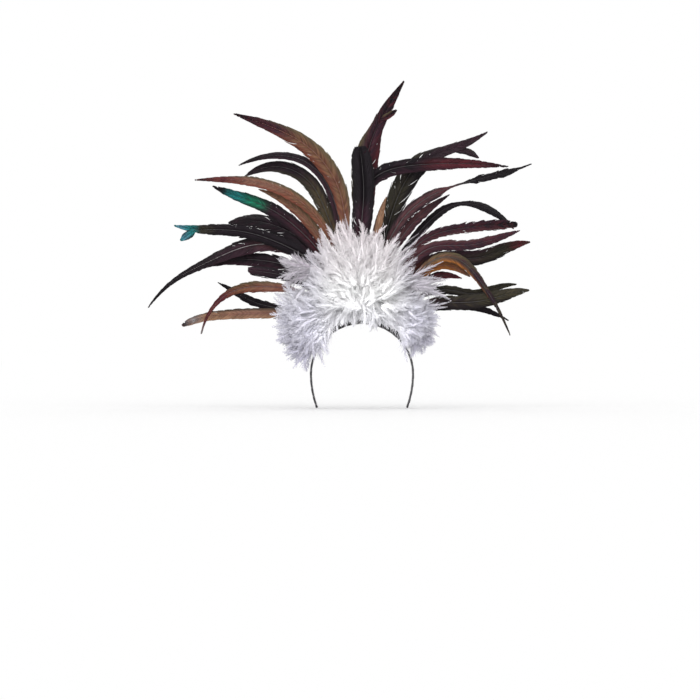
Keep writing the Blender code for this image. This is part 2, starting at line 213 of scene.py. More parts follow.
# Felt pad: rounding of its edges, and the blanket stitches that close them, with the places of
# the thread's points in shares of the reach and their heights in shares of the thread
FELT_ROUNDING = 2.2 * MM
FELT_ROUNDING_MOST = 0.45
PAD_SECTIONS = 90
PAD_ENDS = (0.03, 0.97)
CORNER_POINTS = 5
FACE_POINTS = 7
STITCH_PITCH = 5.5 * MM
STITCH_REACH = 5.0 * MM
STITCH_ROOM = 3 * STITCH_REACH
STITCH_ALONG = np.array((0.5, 0.9, 1))
STITCH_HEIGHTS = np.array((0.3, 0.3, -0.6))
STITCH_BEND = 4
THREAD = 0.7 * MM

# The map seen from the front: its size and where the origin lies on it
FRONT_MAP = 0.4
FRONT_ORIGIN = (0.5, 0.4)

# The photograph is 700 pixels wide and shows 1.5 mm a pixel where the headdress is
VIEW_WIDTH = 1.05
VIEW_CENTRE = (-0.018, -0.039)
CAMERA_DISTANCE = 4.0
CAMERA_RANGE = 50
SENSOR = 36
FLOOR_RADIUS = 12.0
FLOOR_SIDES = 96
FLOOR_GAP = 0.0005
LIT_POINT = (0, 0, 0.08)

Feather = namedtuple(
    "Feather",
    "name seat row root quarter half late tip length width twist vane along second mix upper lower loose rib",
)
Prong = namedtuple("Prong", "feather at turn curl length width")
Tuft = namedtuple("Tuft", "name across up radius depth per_lock seed")
Ring = namedtuple("Ring", "depth lean count first last length width curl")
Spray = namedtuple("Spray", "x z x_end z_end depth heading heading_end lean length width grey count")
Path = namedtuple("Path", "share x z heading length")
Light = namedtuple("Light", "name place size power")

LIGHTS = (
    Light("key", (-0.9, -3.0, 1.3), 1.8, 100),
    Light("fill", (0.4, -3.6, 0.1), 1.6, 85),
    Light("top", (0.3, 0.4, 2.2), 0.9, 6),
)

# Outlines of the vanes: shares of the length and shares of the width there
VANES = {
    "sword": ((0, 0.10), (0.15, 0.22), (0.32, 0.80), (0.5, 1), (0.7, 0.88), (0.88, 0.48), (1, 0.05)),
    "broad": ((0, 0.10), (0.10, 0.30), (0.28, 0.95), (0.55, 1), (0.78, 0.82), (0.92, 0.45), (1, 0.07)),
    "full": ((0, 0.20), (0.06, 0.50), (0.20, 1), (0.55, 1), (0.78, 0.82), (0.92, 0.45), (1, 0.07)),
    "sickle": ((0, 0.10), (0.14, 0.30), (0.30, 0.80), (0.46, 1), (0.62, 0.66), (0.78, 0.34), (1, 0.05)),
    "blunt": ((0, 0.10), (0.16, 0.36), (0.38, 0.92), (0.80, 1), (0.92, 0.90), (1, 0.45)),
    "rounded": ((0, 0.10), (0.10, 0.30), (0.28, 0.95), (0.55, 1), (0.78, 0.82), (0.93, 0.70), (1, 0.25)),
    "shouldered": (
        (0, 0.10), (0.15, 0.30), (0.36, 0.90), (0.50, 1),
        (0.62, 0.92), (0.72, 0.52), (0.86, 0.40), (1, 0.04),
    ),
    "ribbon": (
        (0, 0.20), (0.20, 0.60), (0.38, 1), (0.54, 0.85),
        (0.64, 0.42), (0.78, 0.95), (0.90, 0.65), (1, 0.12),
    ),
    "stripped": (
        (0, 0.10), (0.20, 0.70), (0.36, 1), (0.52, 0.80), (0.58, 0.14), (0.66, 0.12),
        (0.73, 0.72), (0.80, 0.52), (0.86, 0.72), (0.93, 0.16), (1, 0.05),
    ),
}

# The fan, read from the front: seat and headings in degrees from +X towards +Z, then shares of the
# full length and width, and the share of the free space that the vane's edges take up. Below them
# tones along the feather, a second tone that its barbs turn to here and there by the share mix, the
# tones of its upper and lower edges, how loose its barbs are and its rib's tone
FEATHERS = [Feather(*row) for row in (
    ("coque_left_01", 105, 2, 98, 94, 125, 154, 162, 0.96, 1.00, 0.6, "sword",
     "0 rust, 0.4 brown, 0.66 brown, 0.8 aubergine, 1 black", "maroon", 0.5, "olive", "rust", 0.15, "rust"),
    ("coque_left_02", 110, 4, 94, 99, 121, 173, 205, 0.85, 0.50, -0.4, "broad",
     "0 rust, 0.4 aubergine, 0.75 soot, 1 black", "aubergine", 0.4, "black", "aubergine", 0.15, "soot"),
    ("coque_left_03", 114, 6, 93, 108, 118, 165, 214, 0.76, 0.85, 0.5, "broad",
     "0 brown, 0.45 olive, 0.7 soot, 1 black", "aubergine", 0.5, "black", "moss", 0.15, "soot"),
    ("coque_left_04", 118, 1, 93, 119, 149, 174, 182, 0.86, 0.64, -0.5, "sword",
     "0 rust, 0.4 brown, 0.68 rose, 0.86 maroon, 1 soot", "rust", 0.5, "olive", "rust", 0.2, "rust"),
    ("coque_left_05", 123, 3, 91, 117, 129, 146, 162, 0.55, 0.62, 0.5, "sword",
     "0 rust, 0.5 brown, 1 brown", "rose", 0.5, "olive", "rust", 0.2, "rust"),
    ("coque_left_06", 128, 5, 99, 129, 143, 160, 156, 0.71, 0.80, 0.7, "broad",
     "0 maroon, 0.6 aubergine, 0.72 green, 0.84 teal, 0.95 soot", "black", 0.4, "black", "soot", 0.2, "soot"),
    ("coque_left_07", 133, 7, 110, 121, 149, 169, 192, 0.58, 1.00, -0.6, "broad",
     "0 maroon, 0.4 soot, 1 black", "aubergine", 0.5, "black", "black", 0.4, "soot"),
    ("coque_left_08", 138, 2, 103, 147, 162, 179, 168, 0.76, 0.74, 0.6, "broad",
     "0 black, 0.72 soot, 0.84 moss, 0.9 teal, 0.97 blue, 1 teal",
     "black", 0.4, "black", "black", 0.3, "soot"),
    ("coque_left_09", 143, 4, 102, 154, 199, 208, 234, 0.95, 0.92, -0.7, "sickle",
     "0 black, 0.3 plum, 0.5 aubergine, 0.7 soot, 1 black", "black", 0.5, "black", "aubergine", 0.2, "grey"),
    ("coque_left_10", 149, 6, 106, 150, 171, 181, 208, 0.58, 0.84, 0.6, "broad",
     "0 black, 0.4 soot, 1 black", "aubergine", 0.5, "black", "aubergine", 0.5, "soot"),
    ("coque_left_11", 155, 3, 113, 140, 165, 171, 174, 0.35, 0.62, -0.5, "blunt",
     "0 black, 0.5 soot, 1 aubergine", "black", 0.4, "black", "black", 0.7, "soot"),
    ("coque_left_12", 168, 7, 172, 173, 165, 150, 152, 0.45, 0.50, 0.5, "sword",
     "0 black, 0.5 soot, 1 black", "black", 0.3, "black", "black", 0.4, "soot"),
    ("coque_left_13", 161, 1, 129, 170, 186, 226, 257, 0.62, 0.66, 0.7, "sickle",
     "0 maroon, 0.35 rose, 0.55 brown, 0.7 maroon, 0.9 maroon, 1 grey",
     "rust", 0.5, "olive", "rust", 0.3, "maroon"),
    ("coque_left_14", 174, 4, 170, 177, 182, 187, 207, 0.58, 0.60, -0.4, "rounded",
     "0 brown, 0.5 rose, 0.8 tan, 0.9 grey, 1 soot", "rose", 0.5, "moss", "tan", 0.3, "rust"),
    ("coque_top_1", 88, 5, 87, 92, 84, 64, 57, 0.89, 1.45, -0.6, "shouldered",
     "0 maroon, 0.2 black, 0.5 black, 0.62 aubergine, 1 black",
     "maroon", 0.4, "olive", "maroon", 0.15, "soot"),
    ("coque_top_2", 95, 1, 86, 86, 85, 94, 97, 0.55, 1.25, 0.4, "blunt",
     "0 maroon, 0.45 aubergine, 0.62 black, 1 black", "black", 0.5, "black", "black", 0.3, "soot"),
    ("coque_top_3", 82, 0, 80, 80, 78, 76, 70, 0.34, 0.50, 0.4, "sword",
     "0 tan, 0.6 tan, 1 brown", "brown", 0.5, "soot", "brown", 0.4, "tan"),
    ("coque_right_01", 73, 6, 77, 75, 60, 20, 33, 0.87, 1.25, 0.7, "shouldered",
     "0 black, 0.45 moss, 0.6 soot, 0.8 aubergine, 1 aubergine", "black", 0.5, "moss", "black", 0.25, "soot"),
    ("coque_right_02", 77, 3, 90, 101, 18, 1, -5, 1.03, 0.85, -0.6, "sword",
     "0 black, 0.6 black, 0.72 maroon, 0.84 maroon, 1 soot",
     "aubergine", 0.4, "black", "aubergine", 0.3, "soot"),
    ("coque_right_03", 68, 2, 84, 58, 27, 13, 22, 0.89, 0.72, 0.6, "stripped",
     "0 plum, 0.5 plum, 0.6 maroon, 0.66 black, 1 black", "black", 0.5, "soot", "soot", 0.6, "soot"),
    ("coque_right_04", 63, 4, 85, 62, 51, 39, 31, 0.48, 0.60, -0.6, "sword",
     "0 plum, 0.7 plum, 1 black", "aubergine", 0.5, "plum", "aubergine", 0.5, "aubergine"),
    ("coque_right_05", 57, 7, 70, 52, 38, -16, -46, 0.75, 0.52, 0.7, "ribbon",
     "0 black, 0.5 soot, 1 black", "black", 0.4, "black", "black", 0.2, "soot"),
    ("coque_right_06", 51, 5, 69, 50, 15, 6, 1, 0.66, 0.62, -0.5, "blunt",
     "0 plum, 0.6 aubergine, 1 black", "maroon", 0.5, "aubergine", "plum", 0.8, "soot"),
    ("coque_right_07", 45, 3, 69, 43, 0, 16, 19, 0.63, 0.62, 0.6, "full",
     "0 plum, 0.6 aubergine, 1 aubergine", "maroon", 0.5, "plum", "aubergine", 0.5, "aubergine"),
    ("coque_right_08", 40, 6, 62, 28, -1, 23, 8, 0.64, 0.90, -0.6, "full",
     "0 rust, 0.45 aubergine, 0.8 moss, 0.92 maroon, 1 maroon",
     "moss", 0.6, "aubergine", "black", 0.4, "soot"),
    ("coque_right_09", 35, 1, 56, 36, -42, -58, -68, 0.71, 0.62, 0.7, "sickle",
     "0 rust, 0.3 brown, 0.5 aubergine, 1 soot", "olive", 0.5, "olive", "amber", 0.3, "soot"),
    ("coque_right_10", 30, 4, 59, 50, 26, -18, -37, 0.36, 0.50, -0.5, "broad",
     "0 brown, 0.5 amber, 1 brown", "rust", 0.5, "brown", "amber", 0.3, "rust"),
    ("coque_right_11", 25, 7, 57, 45, 28, -1, -20, 0.29, 0.50, 0.5, "sword",
     "0 maroon, 1 maroon", "black", 0.5, "black", "maroon", 0.3, "soot"),
    ("coque_right_12", 19, 5, 46, 16, -12, 20, 2, 0.50, 0.50, -0.6, "broad",
     "0 soot, 0.6 moss, 1 moss", "black", 0.4, "moss", "black", 0.3, "soot"),
    ("coque_right_13", 12, 2, 38, 1, 4, 17, 5, 0.53, 0.85, 0.6, "broad",
     "0 plum, 0.35 soot, 0.7 moss, 1 moss", "olive", 0.3, "moss", "black", 0.3, "soot"),
    ("coque_right_14", 5, 7, 33, 11, 1, -18, -28, 0.45, 0.46, 0.5, "sword",
     "0 soot, 1 soot", "black", 0.4, "black", "black", 0.4, "soot"),
)]

# Branches of forked feathers: where they leave, turn and curl in degrees, shares of the full size
PRONGS = (
    Prong("coque_top_1", 0.77, -36, 12, 0.085, 0.36),
    Prong("coque_left_08", 0.87, 38, 6, 0.085, 0.48),
    Prong("coque_right_01", 0.78, -12, -46, 0.140, 0.46),
)

# Mounds in shares of the pad's radius, small feathers on each lock, and seeds
TUFTS = (
    Tuft("plume_crown", -0.08, 0.54, 0.44, 0.42, 10, 11),
    Tuft("plume_left", -0.72, 0.05, 0.19, 0.26, 18, 12),
    Tuft("plume_right", 0.72, 0.05, 0.19, 0.26, 18, 13),
)

# Rings of locks: depth in the mound, lean, number, headings, shares of the full size, and curl
RINGS = {
    "plume_crown": [Ring(*row) for row in (
        (0.12, 2, 8, 34, 158, 0.90, 1.00, 8),
        (0.38, 22, 8, 6, 176, 0.78, 1.00, 6),
        (0.64, 42, 8, -14, 194, 0.64, 0.90, 4),
        (0.88, 60, 6, 0, 300, 0.44, 0.80, 0),
    )],
    "plume_left": [Ring(*row) for row in (
        (0.30, 4, 6, 158, 230, 0.70, 0.70, 6),
        (0.80, 26, 4, 150, 246, 0.54, 0.66, 4),
    )],
    "plume_right": [Ring(*row) for row in (
        (0.30, 4, 5, -46, 18, 0.52, 0.66, -6),
        (0.80, 26, 4, -58, 24, 0.42, 0.60, -4),
    )],
}

# Rows of white feathers beside the locks, from one end to the other: places in shares of the pad's
# radius, depth in front of the pad in the same shares, headings and lean in degrees, sizes as
# shares of the full ones, and how grey they are, a greyness that is partly painted shade
SPRAYS = {
    "plume_crown": [Spray(*row) for row in (
        (-0.36, 0.42, 0.36, 0.42, 0.20, 244, 296, 10, 0.66, 0.9, 0.03, 28),
        (-0.60, 1.36, -0.35, 1.48, 0.02, 128, 112, 4, 0.75, 0.7, 0.05, 5),
        (-0.30, 1.42, 0.10, 1.42, 0.02, 104, 86, 4, 0.80, 0.7, 0.0, 7),
        (0.15, 1.40, 0.45, 1.32, 0.02, 80, 62, 4, 0.85, 0.7, 0.0, 5),
        (0.82, 1.46, 0.86, 1.42, 0.02, 56, 52, 2, 0.95, 0.28, 0.0, 2),
        (-1.15, 0.98, -1.02, 1.12, 0.10, 174, 158, 6, 0.85, 1.1, 0.55, 10),
        (-0.40, 0.48, 0.40, 0.48, 0.30, 215, 325, 14, 0.75, 1.0, 0.03, 16),
        (0.86, 0.88, 1.00, 0.74, 0.12, 4, -8, 4, 1.0, 0.9, 0.50, 10),
        (-0.17, 1.60, -0.14, 1.62, 0.0, 116, 112, 0, 0.95, 0.6, 0.5, 2),
    )],
    "plume_left": [Spray(*row) for row in (
        (-0.95, -0.20, -0.55, 0.16, 0.12, 240, 250, 10, 0.85, 0.9, 0.25, 9),
        (-1.25, 0.55, -1.15, 0.75, 0.04, 226, 214, 4, 0.85, 0.8, 0.1, 5),
        (-0.35, 0.50, -0.62, 0.24, 0.18, 172, 220, 8, 0.90, 1.0, 0.05, 14),
        (-0.62, 0.26, -0.20, 0.42, 0.17, 228, 262, 10, 0.62, 0.9, 0.10, 20),
        (-0.62, 0.95, -0.95, 0.35, 0.02, 140, 180, 6, 0.50, 1.0, 0.15, 12),
        (-0.60, 0.50, -0.95, 0.28, 0.07, 168, 200, 8, 0.65, 1.1, 0.10, 12),
    )],
    "plume_right": [Spray(*row) for row in (
        (0.62, 0.95, 0.95, 0.35, 0.02, 40, 0, 6, 0.50, 1.0, 0.30, 12),
        (0.60, 0.50, 0.95, 0.28, 0.07, 10, -20, 8, 0.65, 1.1, 0.15, 12),
        (0.55, 0.12, 0.80, -0.10, 0.12, 318, 330, 10, 0.95, 0.8, 0.10, 7),
        (1.05, 0.35, 1.15, 0.10, 0.06, -20, -42, 4, 0.95, 0.6, 0.4, 6),
        (0.35, 0.55, 0.62, 0.24, 0.18, 12, -35, 8, 0.90, 1.0, 0.05, 14),
        (0.20, 0.42, 0.62, 0.22, 0.17, 278, 316, 10, 0.62, 0.9, 0.10, 20),
    )],
}

# Feather colours as seen in daylight, 0 to 255
FULL_LEVEL = 255
GAMMA = 2.2
TONES = {
    "black": (12, 8, 11),
    "soot": (22, 16, 20),
    "aubergine": (42, 26, 33),
    "plum": (68, 44, 46),
    "maroon": (66, 28, 32),
    "rust": (90, 48, 37),
    "brown": (92, 68, 51),
    "tan": (118, 90, 70),
    "amber": (120, 74, 32),
    "rose": (104, 76, 64),
    "olive": (66, 60, 42),
    "moss": (40, 38, 29),
    "teal": (26, 98, 98),
    "green": (24, 104, 78),
    "blue": (66, 112, 126),
    "grey": (104, 100, 100),
}

# Constants of each surface's shader
WHITE = (1, 1, 1, 1)
SURFACES = {
    "vane": {
        "Specular IOR Level": 0.11, "Specular Tint": (0.92, 0.82, 0.95, 1),
        "Sheen Weight": 0.02, "Sheen Roughness": 0.4,
    },
    "rib": {"Roughness": 0.35},
    "down": {
        "Roughness": 0.9, "Diffuse Roughness": 1, "Specular IOR Level": 0.2, "Sheen Weight": 0.3,
        "Subsurface Weight": 0.5, "Subsurface Radius": (1, 1, 1), "Subsurface Scale": 0.0015,
    },
    "satin": {"Specular IOR Level": 0.3, "Sheen Weight": 0.04, "Sheen Roughness": 0.3},
    "felt": {
        "Roughness": 0.95, "Specular IOR Level": 0.12, "Sheen Weight": 0.05, "Sheen Roughness": 0.6,
    },
    "paper": {"Base Color": WHITE, "Roughness": 1, "Specular IOR Level": 0},
}

# Stops of the surfaces' ramps: shares of the lower and upper edge's tone across a vane, levels of
# its streaks, of a rib's tone, of the down's patches, of the painted shadow and painted highlight at the
# satin's hems and of the felt's clouds
VANE_EDGES = (((0.1, 0.8), (0.36, 0)), ((0.64, 0), (0.9, 0.8)))
STREAKS = ((0.3, 0.56), (0.7, 1.30))
RIB_SHADES = ((0.3, 0.6), (0.7, 1.3))
DOWN_PATCHES = ((0.35, 0.90), (0.6, 1.0))
HEM_HIGHLIGHT_AND_SHADOW = ((0, 0.3), (0.08, 1.0), (0.84, 1.0), (0.94, 2.8))
FELT_CLOUDS = ((0.35, 0.75), (0.65, 1.35))
SATIN_TONES = ((0.3, (0.010, 0.009, 0.011)), (0.7, (0.026, 0.024, 0.028)))
FELT_TONES = ((0.3, (0.010, 0.010, 0.011)), (0.7, (0.024, 0.023, 0.026)))
THREAD_TONES = ((0.3, (0.006, 0.006, 0.007)), (0.7, (0.05, 0.05, 0.055)))
VANE_ROUGHNESS = (0.34, 0.58)
SATIN_ROUGHNESS = (0.28, 0.42)

# Down: painted shade between two heights (lavender low down, darker and pinker at the top),
# painted shade of the sides from one distance aside to another, and a grey tone, partly painted shade
DOWN_SHADE_HEIGHTS = (-0.06, 0.15)
DOWN_PAINTED_SHADE_BY_HEIGHT = (
    (0.0, (0.80, 0.79, 0.88)), (0.3, (0.95, 0.95, 0.99)), (0.5, (0.98, 0.98, 0.98)),
    (0.75, (0.78, 0.74, 0.76)), (1.0, (0.70, 0.63, 0.66)),
)
DOWN_SIDE_SHADE_SPAN = (0.035, 0.085)
DOWN_SIDE_PAINTED_SHADE = (0.62, 0.61, 0.68, 1)
DOWN_GREY_AND_SHADE_TONE = (0.30, 0.26, 0.30, 1)


def linear(name):
    """A tone's colour as light, 0 to 1."""
    return tuple((level / FULL_LEVEL) ** GAMMA for level in TONES[name])


def tone_stops(text):
    """Stops of a ramp from places and tones in words."""
    pairs = (pair.split() for pair in text.split(", "))
    return [(float(at), linear(tone)) for at, tone in pairs]


def polar(radius, heading):
    angle = radians(heading)
    return radius * cos(angle), PAD_RISE + radius * sin(angle)


def points(*parts):
    """Parts of equal or single count put together as places or directions."""
    return np.stack(np.broadcast_arrays(*parts), -1)


def unit(vectors):
    """The same directions at a length of 1, safe where one is nothing."""
    return vectors / (np.linalg.norm(vectors, axis=-1, keepdims=True) + NOTHING)


def spread_at(x, z):
    """How far out a point of the fan lies: 0 at the pad's rim, 1 at the fan's reach."""
    return np.maximum(0, np.hypot(x, z - PAD_RISE) - pad_radius) / (FAN_REACH - pad_radius)


def row_gap_at(x, z):
    return ROW_GAP * (1 + (FAN_SPREAD - 1) * spread_at(x, z))


def row_depth(row, x, z):
    """Y of a row's middle at points of the fan's plane."""
    from_middle = row - (ROW_COUNT - 1) / 2
    return from_middle * row_gap_at(x, z) + FAN_SWEEP * spread_at(x, z) ** 2


def smooth_heading(headings, share):
    """Headings in degrees on a smooth curve through equally spaced ones."""
    last = len(headings) - 1
    place = np.minimum(share * last, last - NEARLY)
    i = place.astype(int)
    t = place - i
    padded = np.pad(np.array(headings, float), 1, mode="edge")
    before, here, ahead, after = (padded[i + k] for k in range(4))
    cubic = 2 * t**3 - 3 * t**2 + 1
    leave = (t**3 - 2 * t**2 + t) * (ahead - before) / 2
    return cubic * here + leave + (1 - cubic) * ahead + (t**3 - t**2) * (after - here) / 2


def trace_path(start, headings, length):
    share = np.linspace(0, 1, PATH_STEPS + 1)
    middle = np.radians(smooth_heading(headings, (share[:-1] + share[1:]) / 2))
    ways = np.cumsum((np.cos(middle), np.sin(middle)), 1) * length / PATH_STEPS
    x, z = (np.concatenate(([at], at + way)) for at, way in zip(start, ways))
    return Path(share, x, z, smooth_heading(headings, share), length)


def station(path, share):
    """Place and heading at shares of a path's length."""
    return [np.interp(share, path.share, values) for values in (path.x, path.z, path.heading)]


def soft_outline(stops, share):
    """Smooth line through (share, value) stops."""
    fine = np.linspace(0, 1, OUTLINE_STEPS + 1)
    window = np.hanning(2 * OUTLINE_SOFTENING + 1)
    padded = np.pad(np.interp(fine, *zip(*stops)), OUTLINE_SOFTENING, mode="edge")
    return np.interp(share, fine, np.convolve(padded, window / window.sum(), mode="valid"))


def on_vane(feather, path, share, across):
    """Points in space at shares of a feather's length and distances to the side of its rib."""
    x, z, heading = station(path, share)
    angle = np.radians(heading)
    free = (row_gap_at(x, z) - QUILL_THICKNESS) / 2
    side = np.clip(2 * across / COQUE_WIDTH, -1, 1)
    twist = feather.twist * np.minimum(1, share / TWIST_START) * free * side
    arch = CAMBER * across**2 / (COQUE_WIDTH / 2)
    flat_x = x - np.sin(angle) * across
    flat_z = z + np.cos(angle) * across
    return points(flat_x, row_depth(feather.row, flat_x, flat_z) + twist + arch, flat_z)


def slivers(centre, side, ridge):
    """Closed three-sided strands: vertices and faces.

    Their middle lines, and the offsets to one side and to the ridge, are shaped (strands, steps, 3).
    """
    count, steps = centre.shape[:2]
    vertices = np.stack((centre - side, centre + side, centre + ridge), 2).reshape(-1, 3)
    first = (np.arange(count)[:, None] * steps + np.arange(steps - 1)) * 3
    faces = []
    for a, b in ((0, 1), (1, 2), (2, 0)):
        faces += points(first + a, first + b, first + 3 + b, first + 3 + a).reshape(-1, 4).tolist()
    roots = np.arange(count) * steps * 3
    tips = roots + (steps - 1) * 3
    for ends in ((roots + 2, roots + 1, roots), (tips, tips + 1, tips + 2)):
        faces += points(*ends).tolist()
    return vertices, faces


def closed_rings(rings):
    """Vertices and faces of one closed skin through rings of equal count."""
    corners = np.arange(rings.size // 3).reshape(rings.shape[:2])
    after = np.roll(corners, -1, 1)
    faces = points(corners[:-1], after[:-1], after[1:], corners[1:]).reshape(-1, 4).tolist()
    return rings.reshape(-1, 3), [*faces, corners[0, ::-1].tolist(), corners[-1].tolist()]


def corners_round(sides):
    """Angles of equally spaced corners round a full turn."""
    return np.arange(sides) * 2 * pi / sides


def add_object(name, data):
    obj = bpy.data.objects.new(name, data)
    bpy.context.scene.collection.objects.link(obj)
    return obj


class Builder:
    """Gathers vertices, faces, the two maps and the material numbers of one piece."""

    def __init__(self):
        self.vertices, self.faces, self.maps, self.slots = [], [], [[], []], []
        self.count = 0

    def add(self, vertices, faces, place, strand, slot=0):
        self.faces += [[i + self.count for i in face] for face in faces]
        self.vertices.append(vertices)
        self.maps[0].append(place)
        self.maps[1].append(strand)
        self.slots += [slot] * len(faces)
        self.count += len(vertices)

    def piece(self, name, materials):
        mesh = bpy.data.meshes.new(name)
        mesh.from_pydata(np.concatenate(self.vertices).tolist(), [], self.faces)
        corners = np.zeros(len(mesh.loops), int)
        mesh.loops.foreach_get("vertex_index", corners)
        for layer, values in zip(("OFBake", "strand"), self.maps):
            flat = np.concatenate(values)[corners].astype(np.float32)
            mesh.uv_layers.new(name=layer).uv.foreach_set("vector", flat.ravel())
        for material in materials:
            mesh.materials.append(material)
        mesh.polygons.foreach_set("material_index", np.array(self.slots, np.int32))
        mesh.shade_smooth()
        mesh.update()
        return add_object(name, mesh)


def loosened(amounts, loose):
    return amounts[0] + amounts[1] * loose


def barb_groups(rng, count, loose):
    """Each barb's bunch and its place across the bunch, -1 to 1; how far each bunch closes up and ends."""
    sizes = []
    while sum(sizes) < count:
        sizes.append(min(int(rng.integers(*BUNCH_BARBS)), count - sum(sizes)))
    bunch = np.repeat(np.arange(len(sizes)), sizes)
    across = np.concatenate([np.linspace(-1, 1, size) for size in sizes])
    closing = rng.uniform(BUNCH_CLOSING_LEAST, loosened(BUNCH_CLOSING, loose), len(sizes))
    ends = 1 - rng.uniform(0, loosened(BUNCH_END, loose), len(sizes))
    return bunch, across, closing[bunch], ends[bunch]


def vane_barbs(builder, feather, path, outline, full_width, rng, begin=0.0):
    """Both sides' barbs of a vane that starts at the share begin of its feather."""
    loose = feather.loose
    count = int(path.length / BARB_PITCH)
    along = np.linspace(0, 1, BARB_STEPS + 1)
    rise = 1 - (1 - along) ** 2
    widest = full_width / 2
    slope = tan(radians(BARB_ANGLE))
    for side in (-1, 1):
        root = np.arange(count) + rng.uniform(-ROOT_UNEVEN, ROOT_UNEVEN, count)
        root = np.clip(root / count, *ROOTS)
        bunch, place, closing, ends = barb_groups(rng, count, loose)
        middle = np.array([root[bunch == number].mean() for number in range(bunch.max() + 1)])
        reach = np.maximum(REACH_LEAST[0], soft_outline(outline, root))
        reach = widest * reach / slope / path.length * BARB_REACH * rng.uniform(*BARB_UNEVEN, count)
        reach = np.minimum(reach, np.maximum(REACH_LEAST[1], ends - root))
        pull = (middle[bunch] - root) * closing
        share = root[:, None] + reach[:, None] * along + pull[:, None] * along**2
        share = np.clip(share, 0, 1)
        short = 1 - rng.uniform(0, loosened(BARB_SHORTER, loose), count)
        stray = rng.uniform(0, 1, count) > 1 - STRAY_SHARE
        short = np.where(stray, STRAY_SIZE, short * (1 - BUNCH_CURVE * loose * place**2))
        out = np.maximum(widest * soft_outline(outline, share), VANE_LEAST)
        across = side * out * rise * short[:, None]
        line = on_vane(feather, path, share, across)
        aside = unit(np.cross(unit(np.gradient(line, axis=1)), BACK))
        half = BARB_WIDTH / 2 * (1 + (BARB_TIP - 1) * along**BARB_TAPER)
        half = half * rng.uniform(*BARB_UNEVEN, count)[:, None]
        roll = BARB_ROLL * rng.uniform(*ROLL_UNEVEN, count)[:, None]
        half_side = aside * half[..., None] + BACK * (half * roll)[..., None] * side
        ridge = -BACK * np.broadcast_to(BARB_RIDGE * (1 - BARB_RIDGE_LOSS * along), half.shape)[..., None]
        spot = points(begin + (1 - begin) * share, 0.5 + across / full_width)
        strand = points(root[:, None] * path.length / MM, along)
        maps = (np.repeat(values.reshape(-1, 2), 3, 0) for values in (spot, strand))
        builder.add(*slivers(line, half_side, ridge), *maps)


def rib(builder, feather, path, thick):
    """Tapered rib along a path, closed at both ends, of the second material."""
    share = np.linspace(0, 1, RIB_STEPS + 1)
    line = on_vane(feather, path, share, np.zeros_like(share))
    angle = np.radians(station(path, share)[2])
    aside = points(-np.sin(angle), 0, np.cos(angle))
    radius = thick / 2 * (1 + (RIB_TIP - 1) * share**RIB_TAPER)
    turns = corners_round(RIB_SIDES)[::-1, None]
    rings = line[:, None] + radius[:, None, None] * (aside[:, None] * np.cos(turns) + BACK * np.sin(turns))
    place = np.repeat(points(share, 0.5), RIB_SIDES, 0)
    builder.add(*closed_rings(rings), place, place, 1)


def new_material(name, surface):
    """A material with the constants of a surface; also its node tree and its shader."""
    made = bpy.data.materials.new(name)
    made.use_nodes = True
    shader = made.node_tree.nodes["Principled BSDF"]
    for key, value in SURFACES[surface].items():
        shader.inputs[key].default_value = value
    return made, made.node_tree, shader


def add_node(tree, kind, settings=None, inputs=None):
    """A node with its settings made, and its inputs set or linked by name or number."""
    node = tree.nodes.new(kind)
    for key, value in (settings or {}).items():
        setattr(node, key, value)
    for key, value in (inputs or {}).items():
        if isinstance(value, bpy.types.NodeSocket):
            tree.links.new(value, node.inputs[key])
        else:
            node.inputs[key].default_value = value
    return node


def mix_colours(tree, factor, first, second, blend="MIX"):
    settings = {"data_type": "RGBA", "blend_type": blend}
    return add_node(tree, "ShaderNodeMix", settings, {0: factor, 6: first, 7: second}).outputs[2]


def multiply(tree, colour, other):
    return mix_colours(tree, 1.0, colour, other, "MULTIPLY")


def ramp(tree, factor, stops):
    node = add_node(tree, "ShaderNodeValToRGB", inputs={"Fac": factor})
    node.color_ramp.interpolation = "EASE"
    elements = node.color_ramp.elements
    while len(elements) < len(stops):
        elements.new(0.5)
    for element, (at, colour) in zip(elements, stops):
        element.position = at
        element.color = (*colour, 1)
    return node.outputs["Color"]


def grey_ramp(tree, factor, stops):
    return ramp(tree, factor, [(at, (level,) * 3) for at, level in stops])


def map_range(tree, value, span, result=(0, 1), kind="LINEAR"):
    """A value's place in a span, carried over to the same place in the result."""
    inputs = dict(enumerate((value, *span, *result)))
    return add_node(tree, "ShaderNodeMapRange", {"interpolation_type": kind}, inputs).outputs[0]


def calculate(tree, operation, *values):
    return add_node(tree, "ShaderNodeMath", {"operation": operation}, dict(enumerate(values))).outputs[0]


def read_map(tree, layer):
    return add_node(tree, "ShaderNodeUVMap", {"uv_map": layer}).outputs[0]


def split(tree, vector):
    return add_node(tree, "ShaderNodeSeparateXYZ", inputs={0: vector}).outputs


def stretched_noise(tree, vector, scale, detail, seed=0.0):
    inputs = {"Vector": vector, "Scale": scale, "Location": (seed, seed, seed)}
    moved = add_node(tree, "ShaderNodeMapping", inputs=inputs).outputs[0]
    inputs = {"Vector": moved, "Scale": 1.0, "Detail": detail}
    return add_node(tree, "ShaderNodeTexNoise", inputs=inputs).outputs["Fac"]


def even_noise(tree, scale, detail):
    """Noise alike in all directions of space."""
    where = add_node(tree, "ShaderNodeTexCoord").outputs["Object"]
    return stretched_noise(tree, where, (scale,) * 3, detail)


def finish_surface(tree, shader, colour, height, strength, depth, rough=None):
    """Gives the shader its colour, its roughness and a bump of a strength and depth from a height."""
    inputs = {"Strength": strength, "Distance": depth, "Height": height}
    bump = add_node(tree, "ShaderNodeBump", inputs=inputs).outputs[0]
    for key, socket in (("Base Color", colour), ("Normal", bump), ("Roughness", rough)):
        if socket:
            tree.links.new(socket, shader.inputs[key])


